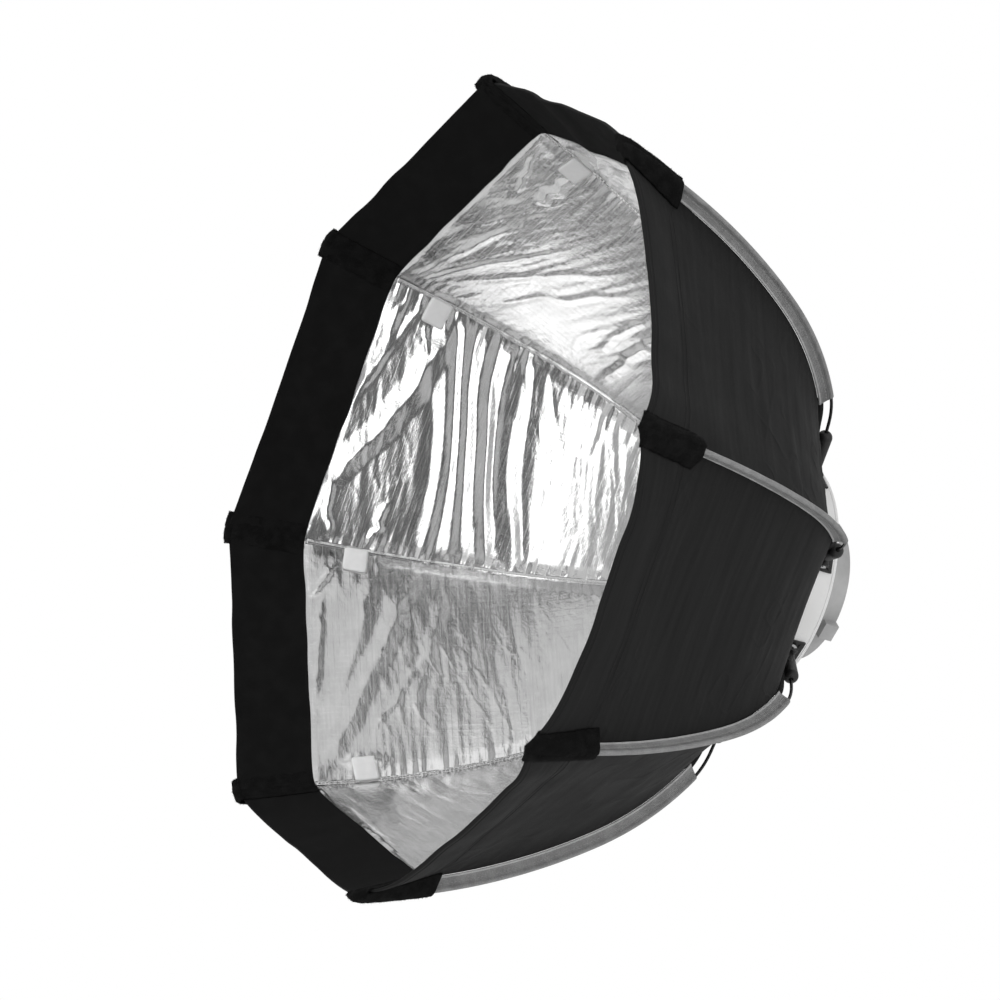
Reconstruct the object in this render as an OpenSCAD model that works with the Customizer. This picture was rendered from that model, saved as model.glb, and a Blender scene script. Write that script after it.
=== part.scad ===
// Folding octagonal softbox (octabox) with a rotating speed ring and a bayonet adapter.
// Millimetres. +Z is up, the open front faces -Y, and the axis lies along Y.
// The origin is on the axis, at the rear face of the adapter's flange.

/* [Softbox] */
// Distance from the axis to the outer fabric at each front corner
front_r = 320; // [318:1:321]
// Distance from the adapter's flange face forward to the front rim
depth = 324; // [320:1:328]
// Distance from the axis to the fabric's rear edge at each rib
rear_r = 108.9; // [107:0.1:111]
// Thickness of the lined fabric
fabric_t = 1; // [0.8:0.1:1.2]
// Extra thickness of the turned-in front band
band_t = 0.8; // [0.5:0.1:1]
// Depth of the front band behind the rim
band_depth = 56; // [50:1:60]

/* [Ribs] */
// Diameter of the spring-steel rod
rod_d = 2.5; // [2:0.1:2.8]
// Angle that a rod leaves its holder at, forward of straight outwards
rod_h0 = 17; // [16:0.1:18]
// Heading at the end of the rod's first bend
rod_h1 = 38.64; // [38:0.1:39.5]
// Heading at the end of the rod's second bend
rod_h2 = 57.59; // [57:0.1:58.5]
// Heading at the rod's tip
rod_h3 = 76.83; // [76.5:0.1:77.2]
// Radius of the first bend
rod_b1 = 80; // [79:0.1:82]
// Radius of the second bend
rod_b2 = 301.14; // [298:0.1:304]
// Radius of the third bend
rod_b3 = 628.68; // [620:0.1:635]
// Radial width of the webbing sleeve that holds the rod
sleeve_w = 10.2; // [8:0.1:10.2]
// Width of each corner strap
strap_w = 25; // [20:1:28]

/* [Speed ring] */
// Outside radius of the ring's wall
ring_r = 96; // [94:0.5:96]
// Length of the ring's wall along the axis
ring_len = 23; // [20:1:24]
// Distance from the axis to each hinge pin
pivot_r = 103.5; // [103:0.1:104]
// Length of a rod holder from its pin to its mouth
holder_len = 38; // [34:1:40]

/* [Adapter] */
// Radius of the clear passage for the lamp
bore_r = 50; // [48:0.5:52]
// Outside radius of the bayonet collar
collar_r = 58.5; // [57:0.5:59]
// Length of the bayonet collar behind the flange
collar_len = 31; // [28:1:33]
// Number of bayonet lugs
lugs = 3; // [3:1:3]

/* [Hidden] */
$fn = 96;
n = 8;
half = 180 / n;
ch = cos(half);
sh = sin(half);

// The rib plane is drawn with x away from the axis and y along it
pivot_y = -23;
p0 = [pivot_r + 45.96 * cos(rod_h0), pivot_y - 45.96 * sin(rod_h0)];
c1 = p0 - rod_b1 * [sin(rod_h0), cos(rod_h0)];
p1 = c1 + rod_b1 * [sin(rod_h1), cos(rod_h1)];
c2 = p1 - rod_b2 * [sin(rod_h1), cos(rod_h1)];
p2 = c2 + rod_b2 * [sin(rod_h2), cos(rod_h2)];
c3 = p2 - rod_b3 * [sin(rod_h2), cos(rod_h2)];

// Points on the rod's three bends, moved off them by o
function q1(h, o) = c1 + (rod_b1 + o) * [sin(h), cos(h)];
function q2(h, o) = c2 + (rod_b2 + o) * [sin(h), cos(h)];
function q3(h, o) = c3 + (rod_b3 + o) * [sin(h), cos(h)];
function steps(a, b, m) = [for (i = [0:m]) a + (b - a) * i / m];
// Heading on the third bend where the line moved off by o is at axial place y
function h3_at(y, o) = acos((y - c3[1]) / (rod_b3 + o));

seam_o = -10.5;
band_y = -depth + band_depth;
h_band = h3_at(band_y, seam_o);
// The fabric's outer line from rear to front, then moved in by t
function wall(t) = concat(
  [[rear_r - 0.36 * t, -32 - 0.93 * t]],
  [for (h = steps(rod_h0, rod_h1, 5)) q1(h, seam_o - t)],
  [for (h = steps(rod_h1 + 3, rod_h2, 7)) q2(h, seam_o - t)],
  [for (h = steps(rod_h2 + 1.5, h_band, 4)) q3(h, seam_o - t)]
);
rim_out = [front_r, -depth];
rim_in = [front_r - 1.1 * (fabric_t + band_t), -depth];
function flip(v) = [for (i = [len(v) - 1:-1:0]) v[i]];
function squeeze(v) = [for (p = v) [p[0] * ch, p[1]]];
band_in = q3(h_band, seam_o - fabric_t - band_t);
gore_line = concat(wall(0), [rim_out, rim_in, band_in], flip(wall(fabric_t)));

h_strap = h3_at(-depth + 61, 0);

// Turns a part drawn on the top rib to rib k
module at_rib(k) {
  rotate([0, 45 * (k - 1), 0]) children();
}

// Turns a flat drawing into the top rib's plane
module in_plane() {
  rotate([0, -90, 0]) children();
}

// Turns a shape about the axis, drawn with x as radius and y as axial place
module turned() {
  rotate([-90, 0, 0]) rotate_extrude() children();
}

// One bend of the rib plane: the children are drawn at x = b
module bend(c, ha, hb) {
  in_plane()
    translate([c[0], c[1], 0])
      rotate([0, 0, 90 - hb])
        rotate_extrude(angle = hb - ha) children();
}

// Local z runs out along the holder from the pin
module along_holder() {
  translate([0, pivot_y, pivot_r]) rotate([rod_h0, 0, 0]) children();
}

// Cast adapter: hub, flange and collar in one, with bayonet lugs at the collar's rear
module mount_adapter() {
  color([0.66, 0.67, 0.68]) difference() {
    union() {
      turned() polygon([
        [bore_r, -9.1], [61.93, -9.1], [61.93, -5.9], [75, -5.9],
        [75, -1.2], [73.8, 0], [collar_r + 2, 0], [collar_r, 2],
        [collar_r, collar_len - 1], [collar_r - 1, collar_len],
        [bore_r + 1.2, collar_len], [bore_r, collar_len - 1.2]
      ]);
      for (i = [0:lugs - 1])
        rotate([0, 131.5 + i * 360 / lugs, 0])
          difference() {
            translate([-7, collar_len - 12, collar_r - 3]) cube([14, 12, 9]);
            translate([0, collar_len - 12, collar_r + 6.4])
              rotate([-28, 0, 0]) translate([-10, -20, 0]) cube([20, 20, 8]);
          }
    }
    for (i = [0:5])
      rotate([0, 60 * i + 15, 0]) translate([0, 0, 56]) rotate([90, 0, 0])
        translate([0, 0, 2]) cylinder(r = 1.6, h = 10);
  }
}

// Flat ring that keeps the speed ring on the adapter's hub
module retaining_ring() {
  color([0.6, 0.6, 0.61]) difference() {
    turned() polygon([[51.5, -12.1], [70, -12.1], [70, -9.2], [51.5, -9.2]]);
    for (i = [0:5])
      rotate([0, 60 * i + 15, 0]) translate([0, 0, 56]) rotate([90, 0, 0])
        cylinder(r = 1.6, h = 20);
  }
}

module retaining_screws() {
  color([0.72, 0.72, 0.74])
    for (i = [0:5])
      rotate([0, 60 * i + 15, 0]) translate([0, 0, 56]) rotate([90, 0, 0])
        difference() {
          union() {
            translate([0, 0, 4.2]) cylinder(r = 1.5, h = 8.5);
            translate([0, 0, 12.15]) cylinder(r = 2.8, h = 2);
          }
          translate([0, 0, 13.15]) cylinder(r = 1.5, h = 2, $fn = 6);
        }
}

// White ring: a cylindrical wall with a rolled rear edge and a flat rear plate
module speed_ring() {
  w = ring_r;
  f = -6 - ring_len;
  color([0.93, 0.93, 0.92]) difference() {
    turned() polygon([
      [62, -9], [w - 3, -9], [w - 3, f + 0.6], [w - 2.4, f], [w - 0.6, f],
      [w, f + 0.6], [w, -8.9], [w + 0.5, -8.4], [w + 0.5, -6.5], [w, -6], [62, -6]
    ]);
    for (k = [1:n], s = [-1, 1])
      at_rib(k) translate([5.2 * s, -14, w - 6]) cylinder(r = 1.25, h = 12);
  }
}

// Black steel clevis for one rod holder
module one_bracket() {
  b = ring_r + 0.05;
  difference() {
    union() {
      translate([-9, -28, b]) cube([18, 17.2, 1.5]);
      for (s = [-1, 1])
        translate([s * 5.8 - 0.75, 0, 0]) {
          translate([0, -28, b]) cube([1.5, 9.5, pivot_r - b]);
          translate([0, pivot_y - 0.25, pivot_r]) rotate([0, 90, 0])
            cylinder(r = 4.75, h = 1.5);
        }
    }
    translate([-10, pivot_y, pivot_r]) rotate([0, 90, 0]) cylinder(r = 1.53, h = 20);
    for (s = [-1, 1]) translate([5.2 * s, -14, b - 1]) cylinder(r = 1.25, h = 4);
  }
}

module hinge_brackets() {
  color([0.09, 0.09, 0.09]) for (k = [1:n]) at_rib(k) one_bracket();
}

module bracket_rivets() {
  color([0.12, 0.12, 0.12]) for (k = [1:n], s = [-1, 1])
    at_rib(k) translate([5.2 * s, -14, 0]) {
      translate([0, 0, ring_r - 4.4]) cylinder(r = 1.2, h = 6.4);
      translate([0, 0, ring_r + 1.6]) cylinder(r1 = 2.2, r2 = 1.5, h = 1);
      translate([0, 0, ring_r - 4.4]) cylinder(r1 = 1.7, r2 = 2.1, h = 0.9);
    }
}

module hinge_pins() {
  color([0.7, 0.7, 0.72]) for (k = [1:n])
    at_rib(k) translate([0, pivot_y, pivot_r]) rotate([0, 90, 0]) {
      translate([0, 0, -7.4]) cylinder(r = 1.5, h = 14.8);
      translate([0, 0, 6.65]) cylinder(r = 2.5, h = 1.1);
      translate([0, 0, -7.75]) cylinder(r = 2.1, h = 1.1);
    }
}

// Tapered nylon socket that swings on the clevis pin
module rod_holder() {
  e = holder_len - 6;
  color([0.07, 0.07, 0.07]) difference() {
    union() {
      translate([0, pivot_y, pivot_r]) rotate([0, 90, 0])
        translate([0, 0, -4.9]) cylinder(r = 4, h = 9.8);
      along_holder() {
        cylinder(r1 = 3.4, r2 = 6, h = e);
        translate([0, 0, e]) sphere(r = 6);
      }
    }
    translate([-6, pivot_y, pivot_r]) rotate([0, 90, 0]) cylinder(r = 1.55, h = 12);
    along_holder() {
      translate([0, 0, 14]) cylinder(r = rod_d / 2 + 0.05, h = 40);
      translate([0, 0, e + 4.9]) cylinder(r1 = 1.3, r2 = 2.6, h = 1.4);
    }
  }
}

// A short swage where two bends of the rod meet
module swage(p, h) {
  translate([0, p[1], p[0]]) rotate([h, 0, 0])
    translate([0, 0, -1]) cylinder(r = rod_d / 2 + 0.04, h = 2);
}

module rod() {
  g1 = 0.1;
  g2 = 0.03;
  g3 = 0.01;
  color([0.05, 0.05, 0.05]) {
    along_holder() translate([0, 0, 14.2]) cylinder(d = rod_d, h = 31.6);
    swage(p0, rod_h0);
    bend(c1, rod_h0 + g1, rod_h1 - g1) translate([rod_b1, 0]) circle(d = rod_d);
    swage(p1, rod_h1);
    bend(c2, rod_h1 + g2, rod_h2 - g2) translate([rod_b2, 0]) circle(d = rod_d);
    swage(p2, rod_h2);
    bend(c3, rod_h2 + g3, rod_h3) translate([rod_b3, 0]) circle(d = rod_d);
  }
}

// The line that runs along the rod from heading ha on the first bend, moved off it by o
function rod_line(ha, y, o) = concat(
  [for (h = steps(ha, rod_h1, 6)) q1(h, o)],
  [for (h = steps(rod_h1 + 2, rod_h2, 11)) q2(h, o)],
  [for (h = steps(rod_h2 + 1, h3_at(y, 0), 6)) q3(h, o)]
);

// A flat strip of the rib plane from offset oa to ob and t thick
module strip(ha, y, oa, ob, t) {
  in_plane() translate([0, 0, -t / 2]) linear_extrude(height = t)
    polygon(concat(rod_line(ha, y, oa), flip(rod_line(ha, y, ob))));
}

// Webbing folded round the rod, with a flat fin down to the seam
module rod_sleeve() {
  y = -depth + 54;
  color([0.5, 0.5, 0.5]) difference() {
    union() {
      strip(26, y, -2.1, 2.1, 4.2);
      strip(26, y, -sleeve_w, -1.9, 1.6);
    }
    strip(20, y - 4, -1.45, 1.45, 2.9);
    in_plane() translate([0, 0, -4]) linear_extrude(height = 8)
      polygon([q1(37, 6), q1(30.5, -14), q1(12, -26), q1(12, 14)]);
  }
}

// Half-slab that lies on the front band's inside, on one side of the rib
module strap_inner(s) {
  t = fabric_t + band_t + 0.3;
  a = [front_r - 1.1 * t, -depth - 0.4];
  b = q3(h_band, seam_o - t);
  c = q3(h_band, seam_o - t - 1.6);
  d = [front_r - 1.1 * (t + 1.6), -depth - 0.4];
  intersection() {
    rotate([0, 22.5 * s, 0]) in_plane() translate([0, 0, -40])
      linear_extrude(height = 80) polygon(squeeze([a, b, c, d]));
    translate([s > 0 ? -0.05 : -strap_w / 2, -depth - 5, 200])
      cube([strap_w / 2 + 0.05, 100, 150]);
  }
}

// Corner strap: over the rod's end, round the rim and back along the inside of the band
module corner_strap() {
  w = strap_w / 2;
  r_in = front_r - 1.1 * (fabric_t + band_t + 1.9);
  drop = w * tan(half);
  top = q3(rod_h3, 4)[0] + 1.7;
  color([0.06, 0.06, 0.06]) union() {
    in_plane() translate([0, 0, -w]) linear_extrude(height = strap_w) polygon(concat(
      [for (h = steps(h_strap, rod_h3, 4)) q3(h, 2.5)],
      [[q3(rod_h3, 2.5)[0] + 1.6, -depth - 0.3], [q3(rod_h3, 4)[0] + 1.6, -depth - 0.3]],
      [for (h = steps(rod_h3, h_strap, 4)) q3(h, 4)]
    ));
    translate([0, -depth - 0.3, 0]) rotate([90, 0, 0]) linear_extrude(height = 1.6)
      polygon([[-w, top], [-w, r_in - drop], [0, r_in], [w, r_in - drop], [w, top]]);
    strap_inner(1);
    strap_inner(-1);
  }
}

// Half of one fabric panel, on side s of the top rib, out to the panel's middle
module gore(s) {
  a = 0.15;
  g = 0.1;
  r0 = (a * ch + g) / sh;
  color([0.1, 0.1, 0.1]) intersection() {
    rotate([0, 22.5 * s, 0]) in_plane() translate([0, 0, -140])
      linear_extrude(height = 280) polygon(squeeze(gore_line));
    translate([0, 10, 0]) rotate([90, 0, 0]) linear_extrude(height = 400)
      polygon([
        [s * a, r0], [s * a, 400],
        [s * (400 * tan(half) - g / ch), 400]
      ]);
  }
}

mount_adapter();
retaining_ring();
retaining_screws();
speed_ring();
hinge_brackets();
bracket_rivets();
hinge_pins();
for (k = [1:n]) at_rib(k) {
  rod_holder();
  rod();
  rod_sleeve();
  corner_strap();
  gore(1);
  gore(-1);
}
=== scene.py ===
"""Looks of the folding octabox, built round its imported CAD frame.

Everything is in metres in the CAD frame: +Z is up, the open front faces -Y and the axis lies along Y.
A rib plane is drawn with r away from the axis and y along it. Rib k stands 45 (k - 1) degrees from +Z
towards +X. Gore g is the fabric panel between rib g and rib g + 1, made as two halves that meet at its middle.
"""

import math

import bmesh
import bpy
import numpy as np
from mathutils import Matrix, Vector


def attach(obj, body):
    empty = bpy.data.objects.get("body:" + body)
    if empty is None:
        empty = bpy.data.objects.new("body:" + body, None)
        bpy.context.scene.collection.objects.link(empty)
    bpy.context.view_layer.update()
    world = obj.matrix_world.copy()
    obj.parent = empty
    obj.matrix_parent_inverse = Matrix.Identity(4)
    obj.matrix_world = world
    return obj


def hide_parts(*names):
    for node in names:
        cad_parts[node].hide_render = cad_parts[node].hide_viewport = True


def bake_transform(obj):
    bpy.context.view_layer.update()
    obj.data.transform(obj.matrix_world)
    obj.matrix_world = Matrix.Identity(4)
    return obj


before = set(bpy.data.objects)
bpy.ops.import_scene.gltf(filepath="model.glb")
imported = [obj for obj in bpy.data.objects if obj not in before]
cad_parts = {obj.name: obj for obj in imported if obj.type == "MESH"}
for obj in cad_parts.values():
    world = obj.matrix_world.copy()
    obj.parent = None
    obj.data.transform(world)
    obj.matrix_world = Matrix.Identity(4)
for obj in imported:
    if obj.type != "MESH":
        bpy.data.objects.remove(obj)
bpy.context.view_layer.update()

MM = 0.001
RIBS = 8
HALF = math.pi / RIBS
COS, SIN = math.cos(HALF), math.sin(HALF)

# ---------------------------------------------------------------- camera, stage and light

CAMERA_PLACE = (3.7908, -2.3072, -0.9566)
CAMERA_X = Vector((0.499662, 0.853238, 0.149406))
CAMERA_Y = Vector((0.115724, -0.236687, 0.964669))
CAMERA_LENS = 207.36
FLOOR_Z = -1.6
STUDIO_BASE = 0.60
# Zones of the studio over that base: direction, degrees of full strength, degrees where it ends, and its strength
STUDIO = (
    ((0.86, -0.36, -0.38), 22, 27, 0.13),
    ((0.60, -0.70, -0.39), 12, 18, 2.1),
    ((0.32, -0.90, -0.28), 9, 16, 0.38),
    ((0.92, 0.10, -0.38), 5, 9, 1.5),
    ((0.10, -0.35, 0.93), 8, 20, 0.85),
    ((0.48, 0.00, 0.88), 6, 12, 0.25),
    ((0.75, -0.45, 0.50), 8, 16, 0.95),
    ((-0.10, 0.30, -0.95), 20, 28, 0.95),
    ((0.95, 0.30, 0.10), 20, 30, 1.1),
)


def make_camera():
    data = bpy.data.cameras.new("camera")
    data.sensor_width = 36
    data.lens = CAMERA_LENS
    data.clip_end = 60
    camera = bpy.data.objects.new("camera", data)
    turn = Matrix((CAMERA_X, CAMERA_Y, CAMERA_X.cross(CAMERA_Y))).transposed()
    camera.matrix_world = Matrix.Translation(CAMERA_PLACE) @ turn.to_4x4()
    bpy.context.scene.collection.objects.link(camera)
    bpy.context.scene.camera = camera


def area_light(name, place, aim, size, power):
    data = bpy.data.lights.new(name, "AREA")
    data.shape = "RECTANGLE"
    data.size, data.size_y = size
    data.energy = power
    light = bpy.data.objects.new(name, data)
    # The lining would mirror the lamp's square
    light.visible_glossy = False
    light.location = place
    light.rotation_euler = (Vector(aim) - Vector(place)).to_track_quat("-Z", "Y").to_euler()
    bpy.context.scene.collection.objects.link(light)


class Tree:
    """Short calls for building a node tree."""

    def __init__(self, tree):
        self.tree = tree
        tree.nodes.clear()

    def add(self, kind, **inputs):
        """A node of that kind. Arguments name its settings or, with a leading capital, its inputs."""
        node = self.tree.nodes.new(kind)
        for key, value in inputs.items():
            if key[0].islower():
                setattr(node, key, value)
                continue
            socket = self.socket(node, key)
            if isinstance(value, bpy.types.NodeSocket):
                self.tree.links.new(value, socket)
            else:
                socket.default_value = value
        return node

    @staticmethod
    def socket(node, key):
        """Input by its name, or by its place for names such as I0."""
        if key[0] == "I" and key[1:].isdigit():
            return node.inputs[int(key[1:])]
        return node.inputs[key.replace("_", " ")]

    def math(self, operation, a, b=0.0, c=0.0):
        return self.add("ShaderNodeMath", operation=operation, I0=a, I1=b, I2=c).outputs[0]

    def noise(self, vector, scale, detail=2.0, roughness=0.5):
        node = self.add("ShaderNodeTexNoise", Vector=vector, Scale=scale, Detail=detail, Roughness=roughness)
        return node.outputs["Fac"]

    def stretched(self, vector, scale):
        return self.add("ShaderNodeMapping", Vector=vector, Scale=scale).outputs[0]

    def ramp(self, value, low, high, out_low=0.0, out_high=1.0):
        return self.add(
            "ShaderNodeMapRange", interpolation_type="SMOOTHSTEP", I0=value, I1=low, I2=high, I3=out_low, I4=out_high
        ).outputs[0]

    def blend(self, share, a, b):
        node = self.add("ShaderNodeMix", data_type="RGBA", I0=share, I6=a, I7=b)
        return node.outputs[2]


def grey(value, tint=(1.0, 1.0, 1.0)):
    return (value * tint[0], value * tint[1], value * tint[2], 1.0)


def make_world():
    """White for the camera. Surfaces are lit by a studio that is bright in front and dark round the camera."""
    world = bpy.data.worlds.new("studio")
    bpy.context.scene.world = world
    world.use_nodes = True
    t = Tree(world.node_tree)
    way = t.add("ShaderNodeTexCoord").outputs["Generated"]

    def zone(direction, inner, outer):
        """1 within inner degrees of a direction, 0 beyond outer degrees."""
        unit = Vector(direction).normalized()
        dot = t.add("ShaderNodeVectorMath", operation="DOT_PRODUCT", I0=way, I1=unit[:]).outputs["Value"]
        return t.ramp(dot, math.cos(math.radians(outer)), math.cos(math.radians(inner)))

    total = STUDIO_BASE
    for direction, inner, outer, strength in STUDIO:
        share = zone(direction, inner, outer)
        rest = t.math("MULTIPLY", t.math("SUBTRACT", 1.0, share), total)
        total = t.math("ADD", t.math("MULTIPLY", share, strength), rest)
    lit = t.add("ShaderNodeBackground", Color=grey(1.0), Strength=total)
    seen = t.add("ShaderNodeBackground", Color=grey(1.0), Strength=1.0)
    camera_ray = t.add("ShaderNodeLightPath").outputs["Is Camera Ray"]
    both = t.add("ShaderNodeMixShader", Fac=camera_ray, I1=lit.outputs[0], I2=seen.outputs[0])
    t.add("ShaderNodeOutputWorld", Surface=both.outputs[0])


def object_place(t):
    return t.add("ShaderNodeTexCoord").outputs["Object"]


def make_stage():
    mesh = bpy.data.meshes.new("floor")
    turns = [2 * math.pi * i / 96 for i in range(96)]
    mesh.from_pydata([(1.5 * math.cos(a), 1.5 * math.sin(a), FLOOR_Z) for a in turns], [], [tuple(range(96))])
    floor = bpy.data.objects.new("floor", mesh)
    bpy.context.scene.collection.objects.link(floor)
    paint = bpy.data.materials.new("floor_paper")
    paint.use_nodes = True
    t = Tree(paint.node_tree)
    place = object_place(t)
    shade = t.ramp(t.noise(place, 3.0), 0.3, 0.7, 0.84, 0.88)
    colour = t.add("ShaderNodeCombineColor", I0=shade, I1=shade, I2=shade).outputs[0]
    surface = t.add("ShaderNodeBsdfPrincipled", Base_Color=colour, Roughness=0.9)
    t.add("ShaderNodeOutputMaterial", Surface=surface.outputs[0])
    mesh.materials.append(paint)
    area_light("key", (1.2, -3.4, 2.2), (0, -0.2, 0), (1.6, 1.6), 55)
    area_light("side", (3.4, -0.2, -0.3), (0, -0.15, 0), (1.2, 1.6), 16)
    bpy.context.scene.view_settings.view_transform = "Standard"


make_camera()
make_world()
make_stage()

# ---------------------------------------------------------------- materials


def new_material(name, build):
    """A material whose build(tree) returns the finished shader's settings."""
    made = bpy.data.materials.new(name)
    made.use_nodes = True
    t = Tree(made.node_tree)
    settings = build(t)
    surface = t.add("ShaderNodeBsdfPrincipled", **settings)
    t.add("ShaderNodeOutputMaterial", Surface=surface.outputs[0])
    return made


def bump(t, height, strength, distance, under=None):
    node = t.add("ShaderNodeBump", Height=height, Strength=strength, Distance=distance)
    if under is not None:
        t.tree.links.new(under, node.inputs["Normal"])
    return node.outputs[0]


def cloth_place(t):
    """Place on the cloth in metres: across the panel and along it."""
    return t.add("ShaderNodeUVMap", uv_map="cloth").outputs[0]


def weave(t, place, pitch):
    """Over and under of a plain weave with that many metres between threads."""
    apart = t.add("ShaderNodeSeparateXYZ", Vector=place)
    rate = 2 * math.pi / pitch
    across = t.math("SINE", t.math("MULTIPLY", apart.outputs[0], rate))
    along = t.math("SINE", t.math("MULTIPLY", apart.outputs[1], rate))
    return t.math("MULTIPLY", across, along)


def outer_fabric(t):
    place = cloth_place(t)
    streaks = t.noise(t.stretched(place, (12.0, 160.0, 1.0)), 1.0, 3.0)
    clouds = t.noise(place, 26.0, 3.0)
    share = t.math("ADD", t.math("MULTIPLY", streaks, 0.6), t.math("MULTIPLY", clouds, 0.4))
    colour = t.blend(t.ramp(share, 0.35, 0.65), grey(0.0135), grey(0.0185))
    rough = t.ramp(clouds, 0.3, 0.7, 0.58, 0.70)
    soft = bump(t, streaks, 0.20, 0.0012)
    fine = bump(t, weave(t, place, 0.0009), 0.25, 0.00012, soft)
    return dict(Base_Color=colour, Roughness=rough, Normal=fine, Specular_IOR_Level=0.09)


def band_fabric(t):
    place = cloth_place(t)
    clouds = t.noise(place, 60.0, 4.0)
    pile = t.noise(place, 1900.0, 2.0)
    colour = t.blend(t.ramp(clouds, 0.35, 0.7), grey(0.0052), grey(0.0085))
    rough = t.ramp(clouds, 0.3, 0.7, 0.85, 0.97)
    return dict(Base_Color=colour, Roughness=rough, Normal=bump(t, pile, 0.5, 0.0004), Specular_IOR_Level=0.15)


def silver_lining(t):
    place = cloth_place(t)
    brushed = t.noise(t.stretched(place, (24.0, 560.0, 1.0)), 1.0, 3.0, 0.6)
    cross = t.noise(t.stretched(place, (420.0, 22.0, 1.0)), 1.0, 2.0)
    clouds = t.noise(place, 34.0, 4.0)
    apart = t.add("ShaderNodeSeparateXYZ", Vector=place)
    ripstop = 0.0
    for axis in (0, 1):
        wave = t.math("SINE", t.math("MULTIPLY", apart.outputs[axis], 2 * math.pi / 0.0052))
        ripstop = t.math("ADD", ripstop, t.ramp(wave, 0.90, 1.0))
    shade = t.ramp(t.math("ADD", t.math("MULTIPLY", clouds, 0.6), t.math("MULTIPLY", brushed, 0.4)), 0.3, 0.7)
    colour = t.blend(shade, grey(0.74), grey(0.88))
    rough = t.ramp(brushed, 0.25, 0.75, 0.12, 0.20)
    crumple = bump(t, t.noise(place, 230.0, 4.0, 0.62), 0.20, 0.0009)
    grain = bump(t, t.math("ADD", brushed, cross), 0.06, 0.0006, crumple)
    threads = bump(t, ripstop, 0.10, 0.0002, grain)
    return dict(Base_Color=colour, Metallic=0.97, Roughness=rough, Normal=threads)


def strap_pile(t):
    place = object_place(t)
    tufts = t.noise(place, 900.0, 3.0, 0.7)
    clouds = t.noise(place, 120.0, 3.0)
    worn = t.blend(t.ramp(clouds, 0.35, 0.7), grey(0.0045), grey(0.0085))
    colour = t.blend(t.ramp(tufts, 0.62, 0.74), worn, grey(0.030))
    rough = t.ramp(tufts, 0.3, 0.7, 0.88, 1.0)
    return dict(Base_Color=colour, Roughness=rough, Normal=bump(t, tufts, 0.9, 0.0012), Specular_IOR_Level=0.12)


def webbing(low, high):
    def build(t):
        place = cloth_place(t)
        clouds = t.noise(place, 90.0, 3.0)
        ribs = weave(t, t.add("ShaderNodeVectorRotate", rotation_type="Z_AXIS", Vector=place,
                              Angle=math.radians(45)).outputs[0], 0.0016)
        mottle = t.noise(place, 900.0, 2.0)
        share = t.math("ADD", t.math("MULTIPLY", clouds, 0.5), t.math("MULTIPLY", mottle, 0.5))
        colour = t.blend(t.ramp(share, 0.35, 0.65), grey(low), grey(high))
        rough = t.ramp(mottle, 0.3, 0.7, 0.75, 0.9)
        return dict(Base_Color=colour, Roughness=rough, Normal=bump(t, ribs, 0.6, 0.0003),
                    Sheen_Weight=0.1, Specular_IOR_Level=0.2)
    return build


def twisted_thread(low, high):
    def build(t):
        place = object_place(t)
        twist = t.noise(place, 1500.0, 2.0)
        colour = t.blend(t.ramp(twist, 0.3, 0.7), grey(low), grey(high))
        return dict(Base_Color=colour, Roughness=t.ramp(twist, 0.3, 0.7, 0.45, 0.6), Normal=bump(t, twist, 0.5, 0.0002))
    return build


def tab_loop(t):
    place = cloth_place(t)
    loops = t.noise(place, 1400.0, 3.0, 0.7)
    clouds = t.noise(place, 150.0, 2.0)
    colour = t.blend(t.ramp(clouds, 0.3, 0.7), grey(0.92), grey(0.96))
    return dict(Base_Color=colour, Roughness=t.ramp(loops, 0.3, 0.7, 0.8, 0.95),
                Normal=bump(t, loops, 0.6, 0.0004), Sheen_Weight=0.25)


def cast_metal(t):
    place = object_place(t)
    sand = t.noise(place, 900.0, 4.0, 0.65)
    clouds = t.noise(place, 45.0, 3.0)
    colour = t.blend(t.ramp(clouds, 0.3, 0.7), grey(0.44), grey(0.54))
    rough = t.ramp(sand, 0.3, 0.7, 0.42, 0.58)
    return dict(Base_Color=colour, Metallic=0.55, Roughness=rough, Normal=bump(t, sand, 0.35, 0.0003))


def white_paint(t):
    place = object_place(t)
    peel = t.noise(place, 420.0, 2.0)
    clouds = t.noise(place, 40.0, 3.0)
    colour = t.blend(t.ramp(clouds, 0.3, 0.75), grey(0.90, (1.0, 0.997, 0.99)), grey(0.94))
    return dict(Base_Color=colour, Roughness=t.ramp(clouds, 0.3, 0.7, 0.34, 0.46), Normal=bump(t, peel, 0.12, 0.0003))


def black_paint(t):
    place = object_place(t)
    peel = t.noise(place, 700.0, 3.0)
    wear = t.noise(place, 160.0, 4.0)
    colour = t.blend(t.ramp(wear, 0.55, 0.8), grey(0.012), grey(0.03))
    return dict(Base_Color=colour, Roughness=t.ramp(wear, 0.3, 0.7, 0.38, 0.55), Normal=bump(t, peel, 0.2, 0.0002))


def nylon(t):
    place = object_place(t)
    spark = t.noise(place, 1300.0, 3.0)
    clouds = t.noise(place, 120.0, 2.0)
    colour = t.blend(t.ramp(clouds, 0.3, 0.7), grey(0.010), grey(0.018))
    return dict(Base_Color=colour, Roughness=t.ramp(clouds, 0.3, 0.7, 0.42, 0.56), Normal=bump(t, spark, 0.3, 0.00025))


def spring_steel(t):
    place = object_place(t)
    drawn = t.noise(place, 500.0, 3.0)
    colour = t.blend(t.ramp(drawn, 0.35, 0.7), grey(0.010), grey(0.024))
    return dict(Base_Color=colour, Metallic=0.4, Roughness=t.ramp(drawn, 0.3, 0.7, 0.28, 0.42),
                Normal=bump(t, drawn, 0.15, 0.0002))


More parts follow.
